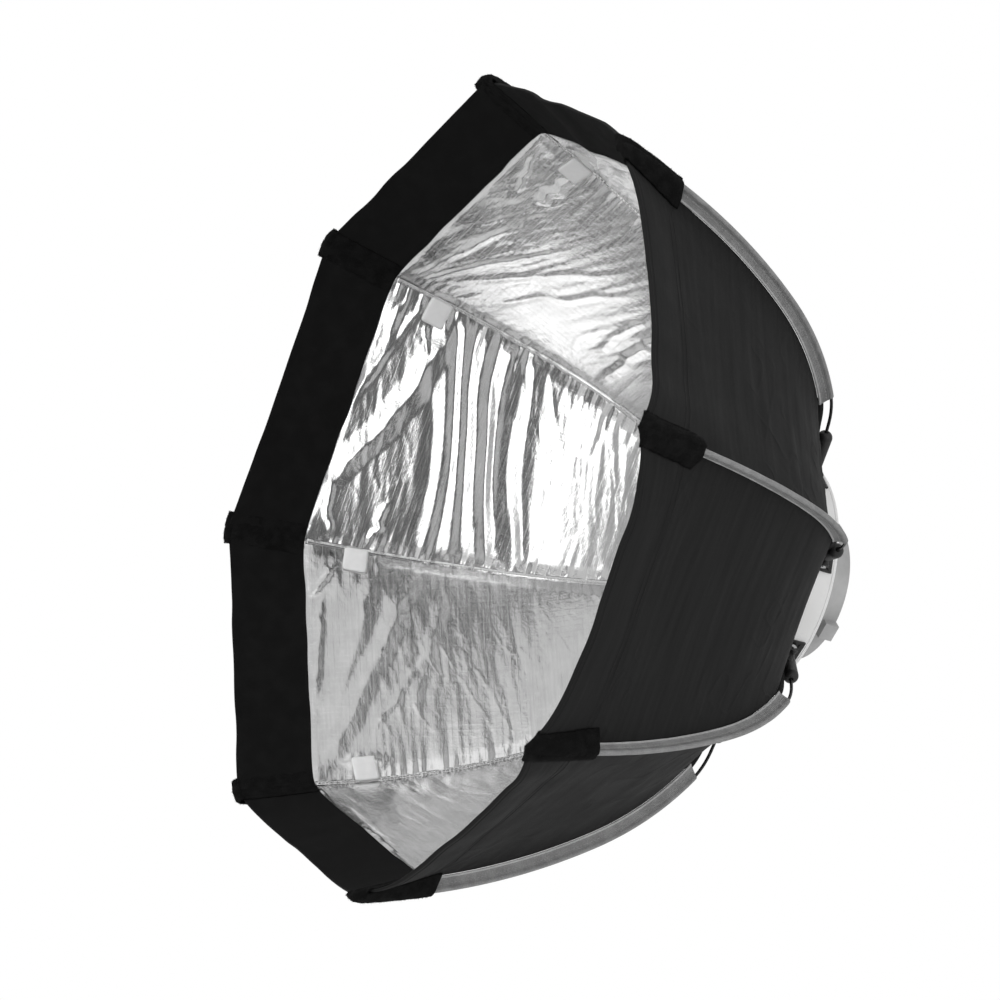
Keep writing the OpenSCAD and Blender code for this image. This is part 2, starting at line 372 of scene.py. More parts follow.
def zinc(t):
    place = object_place(t)
    spangle = t.noise(place, 260.0, 4.0)
    colour = t.blend(t.ramp(spangle, 0.3, 0.7), grey(0.50), grey(0.68, (0.99, 1.0, 1.01)))
    return dict(Base_Color=colour, Metallic=0.9, Roughness=t.ramp(spangle, 0.3, 0.7, 0.28, 0.42),
                Normal=bump(t, spangle, 0.15, 0.0002))


OUTER = new_material("outer_fabric", outer_fabric)
BAND = new_material("band_fabric", band_fabric)
SILVER = new_material("silver_lining", silver_lining)
STRAP = new_material("strap_pile", strap_pile)
WEBBING = new_material("grey_webbing", webbing(0.23, 0.34))
# The same webbing painted lighter for the sleeve's corded edge: a painted highlight along that edge
WEBBING_EDGE_HIGHLIGHT = new_material("webbing_edge_painted_highlight", webbing(0.42, 0.56))
WHITE_THREAD = new_material("white_thread", twisted_thread(0.55, 0.80))
GREY_THREAD = new_material("grey_thread", twisted_thread(0.26, 0.42))
BLACK_THREAD = new_material("black_thread", twisted_thread(0.010, 0.025))
TAB = new_material("tab_loop", tab_loop)
CAD_MATERIALS = {
    "mount_adapter": new_material("cast_metal", cast_metal),
    "retaining_ring": new_material("zinc_plate", zinc),
    "speed_ring": new_material("white_paint", white_paint),
    "hinge_brackets": new_material("black_paint", black_paint),
    "rod_holder": new_material("black_nylon", nylon),
    "rod": new_material("spring_steel", spring_steel),
}
CAD_MATERIALS["retaining_screws"] = CAD_MATERIALS["hinge_pins"] = CAD_MATERIALS["retaining_ring"]
CAD_MATERIALS["bracket_rivets"] = CAD_MATERIALS["hinge_brackets"]


def dress_cad_nodes():
    """Gives each CAD node that stays its material."""
    for name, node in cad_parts.items():
        kind = name.rstrip("0123456789").rstrip("_")
        if kind in CAD_MATERIALS:
            node.data.materials.clear()
            node.data.materials.append(CAD_MATERIALS[kind])
            if kind in ("mount_adapter", "speed_ring", "hinge_brackets"):
                soft = node.modifiers.new("soft_edges", "BEVEL")
                soft.width = 0.4 * MM
                soft.segments = 2
                soft.limit_method = "ANGLE"
                soft.angle_limit = math.radians(40)


# ---------------------------------------------------------------- the rib plane

PIVOT = np.array((103.5, -23.0)) * MM
STRAIGHT = 45.96 * MM
H0, H1, H2, H3 = np.radians((17.0, 38.64, 57.59, 76.83))
BENDS = np.array((80.0, 301.14, 628.68)) * MM
FRONT_Y = -324 * MM
FRONT_R = 320 * MM
BAND_Y = FRONT_Y + 56 * MM
REAR_EDGE = np.array((108.9, -32.0)) * MM
SEAM_OFF = -10.5 * MM


def run_along(line):
    """How far along a line of points each one is."""
    return np.concatenate([[0.0], np.cumsum(np.linalg.norm(np.diff(line, axis=0), axis=1))])


def compass(heading):
    """Unit step (r, y) straight out from the rod at that heading."""
    return np.stack([np.sin(heading), np.cos(heading)], -1)


def bend_centres():
    at = PIVOT + STRAIGHT * np.array((math.cos(H0), -math.sin(H0)))
    centres = []
    for radius, first, last in zip(BENDS, (H0, H1, H2), (H1, H2, H3)):
        centres.append(at - radius * compass(first))
        at = centres[-1] + radius * compass(last)
    return np.array(centres)


CENTRES = bend_centres()


def on_rod(heading, off):
    """Point (r, y) of the rod's line at a heading, moved out by off. Takes arrays."""
    heading, off = np.broadcast_arrays(np.asarray(heading, float), np.asarray(off, float))
    bend = (heading > H1).astype(int) + (heading > H2)
    return CENTRES[bend] + (BENDS[bend] + off)[..., None] * compass(heading)


HEADINGS = np.linspace(math.radians(10), math.radians(79), 1400)
LENGTHS = run_along(on_rod(HEADINGS, 0.0))


def length_at(heading):
    return np.interp(heading, HEADINGS, LENGTHS)


def heading_at(length):
    return np.interp(length, LENGTHS, HEADINGS)


def heading_where_y(y, off):
    line = on_rod(HEADINGS, off)
    return float(np.interp(-y, -line[:, 1], HEADINGS))


def seam_line():
    """The fabric's outer line in the rib plane, from its rear edge to the rim, in steps of a third of a millimetre."""
    headings = np.linspace(H0, heading_where_y(BAND_Y, SEAM_OFF), 60)
    corners = np.vstack([REAR_EDGE, on_rod(headings, SEAM_OFF), (FRONT_R, FRONT_Y)])
    run = run_along(corners)
    even = np.linspace(0.0, run[-1], int(run[-1] / (MM / 3)))
    line = np.stack([np.interp(even, run, corners[:, i]) for i in (0, 1)], 1)
    soft = 19
    kernel = np.hanning(2 * soft + 1)
    kernel /= kernel.sum()
    padded = np.vstack([2 * line[0] - line[soft:0:-1], line, 2 * line[-1] - line[-2:-soft - 2:-1]])
    line = np.stack([np.convolve(padded[:, i], kernel, "valid") for i in (0, 1)], 1)
    return even, line


SEAM_RUN, SEAM = seam_line()
SEAM_LENGTH = SEAM_RUN[-1]
BAND_RUN = float(np.interp(-BAND_Y, -SEAM[:, 1], SEAM_RUN))


def seam_point(run):
    """Point (r, y) on the seam line, and the unit step out of the fabric there."""
    run = np.asarray(run, float)
    at = np.stack([np.interp(run, SEAM_RUN, SEAM[:, i]) for i in (0, 1)], -1)
    step = np.stack([np.interp(run + MM, SEAM_RUN, SEAM[:, i]) - np.interp(run - MM, SEAM_RUN, SEAM[:, i])
                     for i in (0, 1)], -1)
    step /= np.linalg.norm(step, axis=-1, keepdims=True)
    return at, np.stack([-step[..., 1], step[..., 0]], -1)


def turned(r, t, y, angle):
    """Points in the frame from distance out r, sideways t and place y, for a plane at that clock angle."""
    r, t, y = np.broadcast_arrays(np.asarray(r, float), np.asarray(t, float), np.asarray(y, float))
    return np.stack([r * math.sin(angle) + t * math.cos(angle), y, r * math.cos(angle) - t * math.sin(angle)], -1)


def rib_angle(k):
    return 2 * HALF * (k - 1)


# ---------------------------------------------------------------- meshes and noise


def face_outwards(mesh):
    """Turns the faces of a closed mesh to look outwards."""
    solid = bmesh.new()
    solid.from_mesh(mesh)
    if solid.calc_volume(signed=True) < 0:
        mesh.flip_normals()
    solid.free()


def mesh_piece(name, verts, faces, materials, face_material=None, smooth=True, uv=None, normals=None):
    """A mesh object from arrays of points and faces. uv gives each point's place on the cloth."""
    mesh = bpy.data.meshes.new(name)
    mesh.from_pydata(np.asarray(verts, float).tolist(), [], [list(map(int, f)) for f in faces])
    for material in materials:
        mesh.materials.append(material)
    if face_material is not None:
        mesh.polygons.foreach_set("material_index", np.asarray(face_material, np.int32))
    mesh.polygons.foreach_set("use_smooth", np.full(len(mesh.polygons), smooth))
    if uv is not None:
        layer = mesh.uv_layers.new(name="cloth")
        corner = np.zeros(len(mesh.loops), np.int32)
        mesh.loops.foreach_get("vertex_index", corner)
        layer.data.foreach_set("uv", np.asarray(uv, np.float32)[corner].ravel())
    mesh.update()
    face_outwards(mesh)
    if normals is not None:
        mesh.normals_split_custom_set_from_vertices(np.asarray(normals, float).tolist())
    piece = bpy.data.objects.new(name, mesh)
    bpy.context.scene.collection.objects.link(piece)
    return piece


def grid_faces(rows, columns, first=0, close_rows=False, close_columns=False):
    """Quads of a grid of points numbered row by row."""
    i = np.arange(rows if close_rows else rows - 1)
    j = np.arange(columns if close_columns else columns - 1)
    i, j = np.meshgrid(i, j, indexing="ij")
    after, beside = (i + 1) % rows, (j + 1) % columns
    quads = np.stack([i * columns + j, i * columns + beside, after * columns + beside, after * columns + j], -1)
    return quads.reshape(-1, 4) + first


def smooth_step(x, low, high):
    t = np.clip((x - low) / (high - low), 0.0, 1.0)
    return t * t * (3 - 2 * t)


def noise(x, y, seed):
    """Smooth noise between -1 and 1 over the plane, about one wave in two units."""
    table = np.random.RandomState(seed).uniform(-1, 1, (97, 89))
    x, y = np.broadcast_arrays(np.asarray(x, float), np.asarray(y, float))
    left, low = np.floor(x).astype(int), np.floor(y).astype(int)
    a, b = x - left, y - low
    a, b = a * a * a * (a * (a * 6 - 15) + 10), b * b * b * (b * (b * 6 - 15) + 10)

    def corner(i, j):
        return table[(left + i) % 97, (low + j) % 89]

    below = corner(0, 0) * (1 - a) + corner(1, 0) * a
    above = corner(0, 1) * (1 - a) + corner(1, 1) * a
    return below * (1 - b) + above * b


def facets(phase):
    """A fold line's height: a triangle wave between -1 and 1 with rounded tops, one wave per unit."""
    return np.arcsin(0.96 * np.sin(2 * math.pi * phase)) * (2 / math.pi) / 0.82


def ridges(x, y, seed):
    """Narrow creases: 0 nearly everywhere, up to 1 along the lines where noise changes sign."""
    return np.clip(1 - 3.2 * np.abs(noise(x, y, seed)), 0.0, 1.0) ** 1.5


# ---------------------------------------------------------------- the fabric

ACROSS = 57
FABRIC_T = 1.0 * MM
BAND_T = 2.0 * MM
RIM_ROLL = 3
# How each gore's lining lies. folds: height and spacing of its long folds in millimetres, where behind the rim they
# start and end, and how far they slant (metres nearer the rim per metre across). crumple and pucker: heights of small
# creases. creases: single folds, each from (share across, metres behind the rim) to the same, with its height and half
# its width in millimetres. dip: how far back the rim's middle is pulled. bulge: how far the rim bows out at each side.
STYLES = {
    1: dict(folds=(0.5, 22, 0.06, 0.25, 0.15), crumple=0.3, pucker=0.5, creases=(), dip=5, bulge=(5, 15)),
    2: dict(folds=(0.6, 24, 0.06, 0.24, 0.20), crumple=0.3, pucker=0.5, creases=(), dip=12, bulge=(6, 6)),
    3: dict(folds=(0.6, 22, 0.06, 0.26, -0.30), crumple=0.3, pucker=0.5, creases=(), dip=14, bulge=(5, 5)),
    4: dict(folds=(0.6, 24, 0.06, 0.24, 0.25), crumple=0.3, pucker=0.5, creases=(), dip=15, bulge=(6, 8)),
    5: dict(folds=(0.2, 20, 0.06, 0.25, 0.10), crumple=0.22, pucker=0.45, dip=3, bulge=(11, 7), creases=(
        ((-0.5, 0.066), (0.7, 0.066), 0.9, 4), ((-0.2, 0.08), (0.9, 0.12), 0.6, 10),
        ((0.0, 0.15), (0.8, 0.11), 0.5, 12),
    )),
    6: dict(folds=(0.13, 17, 0.14, 0.26, 0.10), crumple=0.20, pucker=0.65, dip=2, bulge=(8, 8), creases=(
        ((-0.95, 0.067), (0.98, 0.162), 1.5, 11), ((-0.90, 0.065), (0.95, 0.125), 1.2, 10),
        ((-0.50, 0.140), (0.90, 0.184), 0.6, 7), ((-0.84, 0.082), (-0.84, 0.128), 1.2, 7),
        ((0.55, 0.064), (0.85, 0.088), 1.2, 4), ((-0.30, 0.064), (0.60, 0.075), 0.9, 5),
        ((-0.60, 0.110), (0.10, 0.160), 0.6, 5),
    )),
    7: dict(folds=(1.05, 21, 0.12, 0.218, 0.28), crumple=0.26, pucker=0.85, dip=2, bulge=(8, 8), creases=(
        ((0.90, 0.126), (-0.66, 0.068), 3.0, 12), ((0.95, 0.078), (-0.10, 0.060), 1.4, 5),
        ((0.92, 0.090), (0.15, 0.066), 1.0, 4), ((-0.96, 0.112), (-0.55, 0.118), 1.2, 4),
        ((-0.95, 0.080), (-0.50, 0.064), 1.2, 4), ((0.80, 0.098), (0.55, 0.106), 0.9, 3),
    )),
    8: dict(folds=(0.06, 14, 0.07, 0.30, -0.45), crumple=0.17, pucker=0.40, dip=3, bulge=(7, 7), creases=(
        ((-0.97, 0.243), (0.20, 0.252), 1.5, 6), ((-0.60, 0.222), (0.20, 0.233), 0.7, 5),
        ((-0.95, 0.072), (0.10, 0.100), 0.5, 4), ((-0.95, 0.075), (0.30, 0.150), 0.5, 4),
        ((-0.93, 0.085), (0.45, 0.195), 0.45, 5), ((-0.90, 0.120), (0.30, 0.215), 0.4, 5),
        ((0.40, 0.100), (0.80, 0.106), 1.6, 6), ((0.75, 0.070), (0.35, 0.084), 0.8, 3),
    )),
}


def row_runs():
    """Places of the mesh's rows along the seam, closer where the cloth has a stitched line or an edge."""
    stitched = [SEAM_LENGTH - d * MM for d in (1.5, 5.5, 50.0, 57.0)]
    base = np.concatenate([np.arange(0.0, BAND_RUN, 1.45 * MM), np.arange(BAND_RUN, SEAM_LENGTH, 1.9 * MM)])
    close = np.concatenate([[run + d * MM for d in (-0.9, -0.45, 0.0, 0.45, 0.9)] for run in stitched])
    far_from_close = np.min(np.abs(base[:, None] - close[None]), 1) > 0.6 * MM
    edge = BAND_RUN + np.array((-0.9, -0.3, 0.0, 0.35, 1.0)) * MM
    keep = far_from_close & (np.min(np.abs(base[:, None] - edge[None]), 1) > 0.7 * MM) & (base > 0)
    rows = np.concatenate([[0.0], base[keep], close[np.min(np.abs(close[:, None] - edge[None]), 1) > 0.3 * MM], edge,
                           [SEAM_LENGTH]])
    return np.unique(rows.round(7))


ROWS = row_runs()
SPLIT = int(np.argmin(np.abs(ROWS - BAND_RUN)))


def lining_relief(g, run, across, half_width):
    """Height of gore g's lining over its smooth place, towards the axis, in metres."""
    style = STYLES[g]
    behind = SEAM_LENGTH - run
    seed = 100 * g
    from_seam = half_width - np.abs(across)
    held = smooth_step(from_seam, 0.0, 0.014)
    height, spacing, start, end, slant = style["folds"]
    level = behind + slant * across
    warp = 0.50 * noise(level / 0.045, across / 0.16, seed + 1) + 0.16 * noise(level / 0.016, across / 0.06, seed + 2)
    strength = 0.55 + 0.75 * np.abs(noise(level / 0.03, across / 0.13, seed + 3))
    between = smooth_step(level, start - 0.01, start + 0.02) * (1 - smooth_step(level, end - 0.03, end + 0.03))
    spread = 0.12 + 0.88 * between
    relief = height * facets(level / (spacing * MM) + warp) * strength * spread * held
    for s in (17, 31):
        beat = noise(behind / 0.0042, across / 0.05 + s, seed + s) + 0.6 * noise(behind / 0.0023, 3.3 + s, seed + s + 1)
        reach = (0.006 + 0.016 * np.abs(noise(behind / 0.013, s, seed + s + 2)))
        pucker = style["pucker"] * beat * np.exp(-from_seam / reach) * smooth_step(from_seam, 0.0, 0.0022)
        relief = relief + np.where((across > 0) == (s == 17), pucker, 0.0)
    patchy = smooth_step(noise(behind / 0.045, across / 0.045, seed + 7), -0.5, 0.6)
    small = 0.7 * noise(level / 0.0050, across / 0.028, seed + 5)
    small = small + 0.5 * noise(level / 0.0026, across / 0.016, seed + 6)
    small = small + 0.8 * ridges((behind + 0.5 * across) / 0.017, (across - 0.5 * behind) / 0.040, seed + 4)
    relief = relief + style["crumple"] * small * (0.25 + 0.75 * patchy) * held
    for (x0, b0), (x1, b1), high, wide in style["creases"]:
        ax, bx = x0 * half_width, x1 * half_width
        length = np.hypot(bx - ax, b1 - b0)
        along = ((across - ax) * (bx - ax) + (behind - b0) * (b1 - b0)) / length**2
        aside = ((across - ax) * (b1 - b0) - (behind - b0) * (bx - ax)) / length
        wander = 0.45 * noise(along * 5, b0 * 90, seed + 9) + 0.15 * noise(along * 17, b0 * 90, seed + 10)
        aside = aside + wide * MM * wander
        ends = smooth_step(along, -0.03, 0.22) * (1 - smooth_step(along, 0.72, 1.05))
        taper = wide * MM * (0.45 + 0.75 * ends)
        fold = np.sqrt(np.clip(1 - np.abs(aside) / taper, 0, 1) ** 2 + 0.01) - 0.1
        relief = relief + high * fold * ends * smooth_step(from_seam, 0.0, 0.006)
    free = smooth_step(behind, 0.057, 0.064) * smooth_step(run, 0.002, 0.02)
    return np.clip(1.3 * held + relief, -0.15, 4.6) * free * MM


def outer_relief(g, run, across, half_width):
    """Height of the outer fabric over its smooth place, outwards, in metres."""
    behind = SEAM_LENGTH - run
    seed = 100 * g + 50
    from_seam = half_width - np.abs(across)
    relief = 0.40 * noise(behind / 0.011, across / 0.11, seed) + 0.45 * noise(behind / 0.03, across / 0.06, seed + 1)
    crumpled = smooth_step(noise(behind / 0.06, across / 0.07, seed + 5), 0.15, 0.6)
    creases = ridges((behind + 0.4 * across) / 0.020, (across - 0.4 * behind) / 0.020, seed + 6)
    relief = relief + 0.5 * crumpled * creases
    for side in (-1, 1):
        # Tension folds fan out from each corner strap
        dx, db = half_width * 1.0 - side * across, behind - 0.035
        away = np.hypot(dx, db)
        turn = np.arctan2(db, dx)
        fan = facets(turn * 2.6 + 0.4 * noise(turn * 3, side, seed + 4)) * np.exp(-away / 0.05)
        relief = relief + 0.55 * fan * smooth_step(away, 0.012, 0.04)
    relief = relief * smooth_step(from_seam, 0.0, 0.012) * smooth_step(run, 0.004, 0.03)
    relief = relief * (0.25 + 0.75 * smooth_step(behind, 0.012, 0.06))
    for line, high in ((1.5, 0.40), (5.5, 0.50), (50.0, 0.45), (57.0, 0.45)):
        relief = relief + high * np.exp(-((behind / MM - line) / 0.55) ** 2)
    relief = relief - 0.12 * smooth_step(behind, 0.0500, 0.0507) * (1 - smooth_step(behind, 0.0563, 0.057))
    relief = relief + 0.5 * (1 - smooth_step(run, 0.0035, 0.0045))
    return np.maximum(relief, -0.45) * MM


def lip_shift(g, share, behind):
    """How far gore g's cloth moves out and back from the straight line between its ribs, near the rim, in metres."""
    front = 1 - smooth_step(behind, 0.0, 0.13)
    low, high = STYLES[g]["bulge"]
    push = MM * front * (low + (high - low) * (share + 1) / 2) * (1 - share**6)
    back = STYLES[g]["dip"] * MM * (1 - share**6) * (1 - 0.35 * share**2) * (1 - smooth_step(behind, 0.0, 0.10)) ** 1.5
    return push, back


def rolled_edge(first, last, way):
    """Rows of points that roll round an edge from the row first to the row last, out towards way."""
    middle, reach = (first + last) / 2, np.linalg.norm(first - last, axis=-1, keepdims=True) / 2
    turns = [math.pi * i / (RIM_ROLL + 1) for i in range(1, RIM_ROLL + 1)]
    way = way / np.linalg.norm(way)
    return np.stack([middle + (first - middle) * math.cos(a) + way * reach * math.sin(a) for a in turns])


def gore_points(g, share):
    """Rows of points round gore g's cloth: its outside from rear to front, the rim, its inside back, the rear hem."""
    share = share[None, :]
    wander = 0.9 * MM * noise(share * 5 * np.ones_like(ROWS)[:, None], 0.5, 100 * g + 60)
    near_edge = np.exp(-((ROWS[:, None] - BAND_RUN) / 0.03) ** 2)
    run = ROWS[:, None] + wander * near_edge * (1 - share**4)
    at, out = seam_point(run)
    r, y = at[..., 0], at[..., 1]
    half_width = r * SIN
    across = share * half_width
    bow = 1 - share**2
    behind = SEAM_LENGTH - run
    front = 1 - smooth_step(behind, 0.0, 0.13)
    # The rim's middle bows out and is pulled back; the panel's middle is drawn in between the ribs
    push, back = lip_shift(g, share, behind)
    push = push + 1.3 * MM * front * noise(share * 4.0, 3.1, 100 * g + 62) * (1 - share**6)
    push = push - 3.0 * MM * bow * smooth_step(behind, 0.05, 0.17) * smooth_step(run, 0, 0.1)
    back = back + 0.7 * MM * noise(share * 4.0, 7.7, 100 * g + 61) * (1 - share**6) * front**2

    def layer(height):
        return turned(r * COS + out[..., 0] * height, across, y + out[..., 1] * height + back, rib_angle(g) + HALF)

    outside = layer(push + outer_relief(g, run, across, half_width))
    thick = np.where(np.arange(len(ROWS)) > SPLIT, BAND_T, FABRIC_T)[:, None] * np.ones_like(share)
    thick = thick + 0.35 * MM * (1 - smooth_step(run, 0.0035, 0.0045))
    inside = layer(push - thick - lining_relief(g, run, across, half_width))
    rim = rolled_edge(outside[-1], inside[-1], np.array((0.0, -1.0, 0.0)))
    hem = rolled_edge(inside[0], outside[0], turned(-1.0, 0.0, 0.35, rib_angle(g) + HALF))
    points = np.concatenate([outside, rim, inside[::-1], hem])

    def round_the_edge(rows):
        return np.concatenate([rows, np.repeat(rows[-1:], RIM_ROLL, 0), rows[::-1], np.repeat(rows[:1], RIM_ROLL, 0)])

    return points, np.stack([round_the_edge(across), round_the_edge(np.broadcast_to(run, across.shape))], -1)


def grid_normals(points):
    """Normals of a grid whose rows close on themselves."""
    along = np.roll(points, -1, 0) - np.roll(points, 1, 0)
    across = np.gradient(points, axis=1)
    normal = np.cross(across, along)
    return normal / np.maximum(np.linalg.norm(normal, axis=-1, keepdims=True), 1e-12)


def half_gore(g, k, side, points, uv, normals):
    """One half of gore g: its columns from rib k's seam to the middle. side is a (the seam is its left) or b."""
    columns = slice(0, ACROSS + 1) if side == "a" else slice(ACROSS, 2 * ACROSS + 1)
    points, uv, normals = points[:, columns], uv[:, columns], normals[:, columns]
    rows, wide = points.shape[:2]
    quads = grid_faces(rows, wide, close_rows=True)[:, ::-1]
    n = len(ROWS)
    ring = np.arange(rows)
    front, back = ring[:n], ring[n + RIM_ROLL:2 * n + RIM_ROLL][::-1]
    caps = []
    for j, flip in ((0, True), (wide - 1, False)):
        for i in range(n - 1):
            cap = [front[i], front[i + 1], back[i + 1], back[i]]
            caps.append([row * wide + j for row in (cap[::-1] if flip else cap)])
        rim = list(range(n - 1, n + RIM_ROLL + 1))
        hem = list(range(2 * n + RIM_ROLL - 1, rows)) + [0]
        for loop in (rim, hem):
            caps.append([row * wide + j for row in (loop[::-1] if flip else loop)])
    row_of_quad = np.repeat(np.arange(rows), wide - 1)
    inner = row_of_quad - (n + RIM_ROLL)
    paint = np.zeros(len(quads), int)
    paint[(inner >= -1) & (inner < n - 1)] = 1
    paint[(inner >= n - 1 - SPLIT) & (inner < n - 1)] = 2
    faces = [list(q) for q in quads] + caps
    paint = np.concatenate([paint, np.zeros(len(caps), int)])
    name = f"gore_fabric_{k}{side}"
    piece = mesh_piece(name, points.reshape(-1, 3), faces, (OUTER, BAND, SILVER), paint,
                       uv=uv.reshape(-1, 2), normals=normals.reshape(-1, 3))
    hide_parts(f"gore_{k}{side}")
    return piece


def pleat_ends(k, side):
    """Two points of a half gore: one beside its rib at the seam, and one on its panel at the middle."""
    way = 1 if side == "a" else -1
    start = turned(0.2413, way * 0.0172, -0.1327, rib_angle(k))
    end = turned(0.1591, way * 0.1519, -0.1864, rib_angle(k))
    return tuple(start), tuple(end)


def ride_half(piece, k, side):
    start, end = pleat_ends(k, side)
    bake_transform(piece)


def make_fabric():
    share = np.linspace(-1, 1, 2 * ACROSS + 1)
    for g in range(1, RIBS + 1):
        points, uv = gore_points(g, share)
        normals = grid_normals(points)
        outwards = turned(1.0, 0.0, 0.3, rib_angle(g) + HALF)
        if (normals[len(ROWS) // 2, ACROSS] * outwards).sum() < 0:
            normals = -normals
        for k, side in ((g, "a"), (g % RIBS + 1, "b")):
            piece = half_gore(g, k, side, points, uv, normals)
            ride_half(piece, k, side)


make_fabric()

# ---------------------------------------------------------------- sleeves, seams and stitches

SLEEVE_END = heading_where_y(FRONT_Y + 54 * MM, 0.0)
# Distance off the rod, in millimetres, where the sleeve's webbing ends and its corded edge begins
CORD_OFF = -8.4


def sleeve_start(off):
    """Heading of the sleeve's slanted rear end at a distance off the rod."""
    return np.radians(30.5 + (off / MM + 14) * 0.325)


def loft(stations, offs, sides, start, end, angle):
    """Points of a strip along the rod: stations down its length, and a cross-section of offs and sides."""
    offs, sides = np.asarray(offs) * MM, np.asarray(sides) * MM
    u = np.linspace(0, 1, stations)[:, None]
    first, last = length_at(start(offs))[None, :], length_at(end)
    run = first + (last - first) * u
    at = on_rod(heading_at(run), offs[None, :])
    return turned(at[..., 0], sides[None, :] * np.ones_like(u), at[..., 1], angle), run


def capped_tube(name, points, materials, column_material=None, uv=None):
    """A tube of closed cross-sections with flat ends."""
    rows, wide = points.shape[:2]
    quads = grid_faces(rows, wide, close_columns=True)
    faces = [list(q) for q in quads] + [list(range(wide))[::-1], list(range((rows - 1) * wide, rows * wide))]
    paint = None
    if column_material is not None:
        paint = list(np.tile(column_material, rows - 1)) + [0, 0]
    return mesh_piece(name, points.reshape(-1, 3), faces, materials, paint, uv=uv)


def cloth_uv(across, run):
    """Each point's place on the cloth, from two arrays that broadcast together."""
    return np.stack(np.broadcast_arrays(across, run), -1).reshape(-1, 2)


def make_sleeve(k):
    """Grey webbing folded round the rod and sewn into a fin, with a corded edge along the seam whose webbing is painted
    lighter as a painted highlight.
    """
    turn = np.radians(np.linspace(-52, 232, 15))
    tube = [(2.15 * math.sin(a), 2.15 * math.cos(a)) for a in turn]
    one_side = [(-2.6, 1.25), (-3.3, 0.95), (-4.4, 0.88), (-6.2, 0.85), (-8.3, 0.85), (-8.8, 1.15), (-9.35, 1.3),
                (-9.9, 1.1), (-10.25, 0.5)]
    # Round the section once: over the rod, down one side of the fin, and up the other
    section = tube + [(o, -s) for o, s in one_side] + one_side[::-1]
    offs, sides = zip(*section)
    points, run = loft(150, offs, sides, sleeve_start, SLEEVE_END, rib_angle(k))
    hang = run_along(section) * MM
    # Faces of the corded edge, which take the lighter webbing that paints a highlight there
    low = np.minimum(offs, np.roll(offs, -1)) < CORD_OFF
    ripple = 0.12 * MM * noise(run / 0.012, hang[None, :] / 0.004, 70 + k)
    points = points + ripple[..., None] * turned(0.0, 1.0, 0.0, rib_angle(k))
    sleeve = capped_tube(f"sleeve_{k}", points, (WEBBING, WEBBING_EDGE_HIGHLIGHT), low.astype(int), cloth_uv(hang, run))
    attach(sleeve, f"rib_{k}")
    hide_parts(f"rod_sleeve_{k}")


def stitches(name, centres, ways, ups, length, radius, material, body):
    """Short rounded threads, one at each centre, lying along its way and bowed up in the middle."""
    ring, rows = 6, 5
    verts, faces = [], []
    shape = np.linspace(-1, 1, rows)
    for centre, way, up in zip(centres, ways, ups):
        side = np.cross(way, up)
        first = len(verts)
        for s in shape:
            thick = radius * math.sqrt(max(1 - (0.93 * s) ** 4, 0.05))
            middle = centre + way * (s * length / 2) + up * (radius * (0.9 - 1.1 * s * s))
            for a in range(ring):
                turn = 2 * math.pi * a / ring
                verts.append(middle + (side * math.cos(turn) + up * math.sin(turn)) * thick)
        faces += [list(q) for q in grid_faces(rows, ring, first, close_columns=True)]
        faces.append([first + a for a in range(ring)][::-1])
        faces.append([first + (rows - 1) * ring + a for a in range(ring)])
    piece = mesh_piece(name, verts, faces, (material,))
    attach(piece, body)
    return piece


def sleeve_stitches(k):
    """A line of stitches down each side of the sleeve, just below the rod."""
    off, pitch, angle = -4.0 * MM, 3.4 * MM, rib_angle(k)
    first, last = length_at(sleeve_start(off)) + 3 * MM, length_at(SLEEVE_END) - 2 * MM
    run = np.arange(first, last, pitch)
    heading = heading_at(run)
    at = on_rod(heading, off)
    ahead = np.stack([np.cos(heading), -np.sin(heading)], -1)
    way = turned(ahead[:, 0], 0.0, ahead[:, 1], angle)
    centres, ways, ups = [], [], []
    for side in (-1, 1):
        up = turned(0.0, side, 0.0, angle)
        centres += list(turned(at[:, 0], side * 0.84 * MM, at[:, 1], angle))
        ways += list(way)
        ups += [up] * len(run)
    stitches(f"sleeve_stitches_{k}", centres, ways, ups, 2.4 * MM, 0.26 * MM, GREY_THREAD, f"rib_{k}")


def make_seam_edge(k):
    """The black turned edge of the fabric's seam, which runs on past the sleeve's end to the rear edge."""
    run = np.linspace(1.0 * MM, float(length_to_seam(sleeve_start(-10 * MM))) + 6 * MM, 60)
    at, out = seam_point(run)
    tall = 3.6 * MM * smooth_step(run, 0.0, 0.012)[:, None] + 0.6 * MM
    section = [(-0.6, 0.75), (0.45, 0.72), (0.9, 0.60), (1.0, 0.0), (0.9, -0.60), (0.45, -0.72), (-0.6, -0.75)]
    high, side = np.array(section).T[:, None]
    side = side * MM
    reach = np.where(high > 0, high * tall, high * MM)
    points = turned(at[:, :1] + out[:, :1] * reach, side, at[:, 1:] + out[:, 1:] * reach, rib_angle(k))
    edge = capped_tube(f"seam_edge_{k}", points, (OUTER,), uv=cloth_uv(side, run[:, None]))
    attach(edge, f"rib_{k}")


def length_to_seam(heading):
    """Run along the seam line of the point under the rod at that heading."""
    target = on_rod(heading, SEAM_OFF)
    return SEAM_RUN[np.argmin(np.linalg.norm(SEAM - target, axis=1))]


